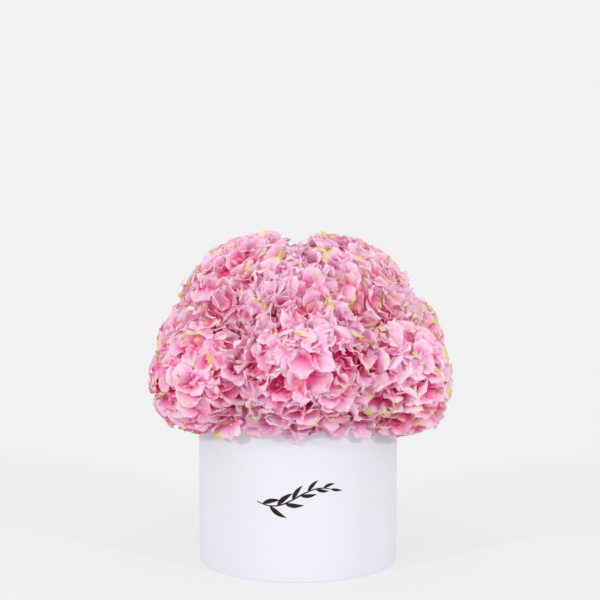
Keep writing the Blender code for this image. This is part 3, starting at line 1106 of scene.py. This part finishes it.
def build_head(ball, balls, index, look, materials):
    """One flower head: its sepals, the buds at the florets' centres and the stalks that carry them."""
    rng = np.random.default_rng(look.seed + index)
    batch = SepalBatch()

    def add(centres, axes, layer):
        return add_florets(batch, ball, balls, centres, axes, rng, look, layer), axes[2]

    outer = place_florets(ball, balls, look.outer_count, look.outer_inset, index * 1.7, rng, look)
    inner = place_florets(ball, balls, look.inner_count, look.inner_inset, index * 2.3 + 1, rng, look)
    if ball.in_crown:
        outer_layer = CROWN_LAYER
    else:
        outer_layer = LEFT_LAYER if ball.centre[0] < -BOX_RADIUS / 3 else RING_LAYER
    centres, facing = add(*outer, outer_layer)
    inner_centres, inner_facing = add(*inner, INNER_LAYER)
    if not ball.in_crown:
        rim_centres, rim_facing = add(*rim_florets(ball, balls, rng), RIM_LAYER)
        centres = np.concatenate([centres, rim_centres])
        facing = np.concatenate([facing, rim_facing])
    sepals = batch.build("sepals_" + ball.name, materials["sepal"])
    buds = build_buds("buds_" + ball.name, centres, facing, rng, look, materials["bud"])
    all_centres = np.concatenate([centres, inner_centres])
    all_facing = np.concatenate([facing, inner_facing])
    stalks = build_stalks("stalks_" + ball.name, ball, all_centres, all_facing, look, materials["stalk"])
    for piece in (sepals, buds, stalks):
        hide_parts("head_" + ball.name)


# Stage ------------------------------------------------------------------------------------------------


def build_floor(look, half=30.0):
    """A wide plain floor that glows a little, so that it runs into the backdrop."""
    mesh = bpy.data.meshes.new("floor")
    corners = [(-half, -half, 0), (half, -half, 0), (half, half, 0), (-half, half, 0)]
    mesh.from_pydata(corners, [], [(0, 1, 2, 3)])
    material, w, out = new_material("floor_tone")
    lit = w.node("ShaderNodeBsdfDiffuse", {"Color": (look.floor_tone,) * 3})
    glow = w.node("ShaderNodeEmission", {"Color": (look.floor_glow,) * 3, "Strength": 1.0})
    both = w.node("ShaderNodeAddShader", {0: lit.outputs[0], 1: glow.outputs[0]})
    w.feed(out.inputs["Surface"], both.outputs[0])
    mesh.materials.append(material)
    floor = bpy.data.objects.new("floor", mesh)
    bpy.context.scene.collection.objects.link(floor)


def light_stage(look):
    """Even light from all round, which the camera sees as a backdrop, and three soft lights in front."""
    world = bpy.data.worlds.new("soft_surroundings")
    world.use_nodes = True
    world.node_tree.nodes.clear()
    w = Wiring(world.node_tree)
    seen = w.node("ShaderNodeLightPath").outputs["Is Camera Ray"]
    sky = w.node("ShaderNodeBackground", {"Color": (look.sky_tone,) * 3})
    backdrop = w.node("ShaderNodeBackground", {"Color": (look.backdrop_tone,) * 3})
    both = w.node("ShaderNodeMixShader", {0: seen, 1: sky.outputs[0], 2: backdrop.outputs[0]})
    w.node("ShaderNodeOutputWorld", {"Surface": both.outputs[0]})
    bpy.context.scene.world = world
    # Each light's name, strength and the way that it shines.
    lights = (
        ("key_light", look.key, (1.0, 0.85, -0.65)),
        ("fill_light", look.fill, (-1.0, 0.85, -0.60)),
        ("low_light", look.low, (0.05, 1.0, -0.12)),
    )
    for name, strength, way in lights:
        sun = bpy.data.lights.new(name, "SUN")
        sun.energy = strength
        sun.angle = look.softness
        light = bpy.data.objects.new(name, sun)
        light.rotation_euler = Vector(way).to_track_quat("-Z", "Y").to_euler()
        bpy.context.scene.collection.objects.link(light)
    # Crowded thin sepals pass light on many times before it fades.
    cycles = bpy.context.scene.cycles
    cycles.max_bounces = 24
    cycles.diffuse_bounces = 20


def place_camera(look, aside=0.002):
    """A long lens that looks down on the front from a little above."""
    data = bpy.data.cameras.new("camera")
    data.sensor_width = 36
    data.lens = data.sensor_width * look.distance / look.frame_width
    data.clip_end = 100
    camera = bpy.data.objects.new("camera", data)
    level = look.distance * math.cos(look.elevation)
    camera.location = (aside, -level, look.distance * math.sin(look.elevation))
    camera.rotation_euler = (math.pi / 2 - look.elevation + look.aim, 0, 0)
    bpy.context.scene.collection.objects.link(camera)
    bpy.context.scene.camera = camera
    bpy.context.scene.view_settings.view_transform = "Standard"


# Operators --------------------------------------------------------------------------------------------


class MakeWall(bpy.types.Operator):
    """Wrap the box's wall in white paper"""

    bl_idname = "flowerbox.make_wall"
    bl_label = "Wrapped Wall"

    def execute(self, context):
        build_wall(context.scene.flower_box.box)
        return {"FINISHED"}


class FinishInside(bpy.types.Operator):
    """Finish the base, the liner, the foam and the stems"""

    bl_idname = "flowerbox.finish_inside"
    bl_label = "Base, Liner, Foam and Stems"

    def execute(self, context):
        look = context.scene.flower_box.box
        wear("box_base", grained_material("grey_board", look.board_colour))
        wear("liner", grained_material("liner_film", look.liner_colour))
        wear("floral_foam", grained_material("wet_foam", look.foam_colour))
        bark = grained_material("stem_bark", look.bark_colour)
        for name in STEMS:
            wear(name, bark)
        return {"FINISHED"}


class MakeSprig(bpy.types.Operator):
    """Press a leafy sprig of dark foil onto the front"""

    bl_idname = "flowerbox.make_sprig"
    bl_label = "Foil Sprig"

    def execute(self, context):
        build_sprig(context.scene.flower_box.sprig)
        return {"FINISHED"}


class MakeHeads(bpy.types.Operator):
    """Build every flower head from its florets"""

    bl_idname = "flowerbox.make_heads"
    bl_label = "Flower Heads"

    def execute(self, context):
        look = context.scene.flower_box.floret
        materials = {
            "sepal": sepal_material(look),
            "bud": grained_material("bud_skin", look.bud_colour),
            "stalk": grained_material("stalk_skin", look.stalk_colour),
        }
        balls = [Ball(name) for name in HEADS]
        for index, ball in enumerate(balls):
            build_head(ball, balls, index, look, materials)
        return {"FINISHED"}


class MakeStage(bpy.types.Operator):
    """Lay the floor, light the scene softly and place the camera"""

    bl_idname = "flowerbox.make_stage"
    bl_label = "Floor, Light and Camera"

    def execute(self, context):
        look = context.scene.flower_box.stage
        build_floor(look)
        light_stage(look)
        place_camera(look)
        return {"FINISHED"}


STEPS = (MakeWall, FinishInside, MakeSprig, MakeHeads, MakeStage)


class FlowerBoxPanel(bpy.types.Panel):
    """Lists the steps that build the box of hydrangeas"""

    bl_idname = "VIEW3D_PT_flower_box"
    bl_label = "Hydrangeas in a Box"
    bl_space_type = "VIEW_3D"
    bl_region_type = "UI"
    bl_category = "Flower Box"

    def draw(self, context):
        for step in STEPS:
            self.layout.operator(step.bl_idname)


SETTINGS = (BoxSettings, FloretSettings, SprigSettings, StageSettings, FlowerBoxSettings)
CLASSES = (*SETTINGS, *STEPS, FlowerBoxPanel)


def register():
    for cls in CLASSES:
        bpy.utils.register_class(cls)
    bpy.types.Scene.flower_box = PointerProperty(type=FlowerBoxSettings)


def unregister():
    del bpy.types.Scene.flower_box
    for cls in reversed(CLASSES):
        bpy.utils.unregister_class(cls)


def main():
    register()
    bpy.ops.flowerbox.make_wall()
    bpy.ops.flowerbox.finish_inside()
    bpy.ops.flowerbox.make_sprig()
    bpy.ops.flowerbox.make_heads()
    bpy.ops.flowerbox.make_stage()


if __name__ == "__main__":
    main()
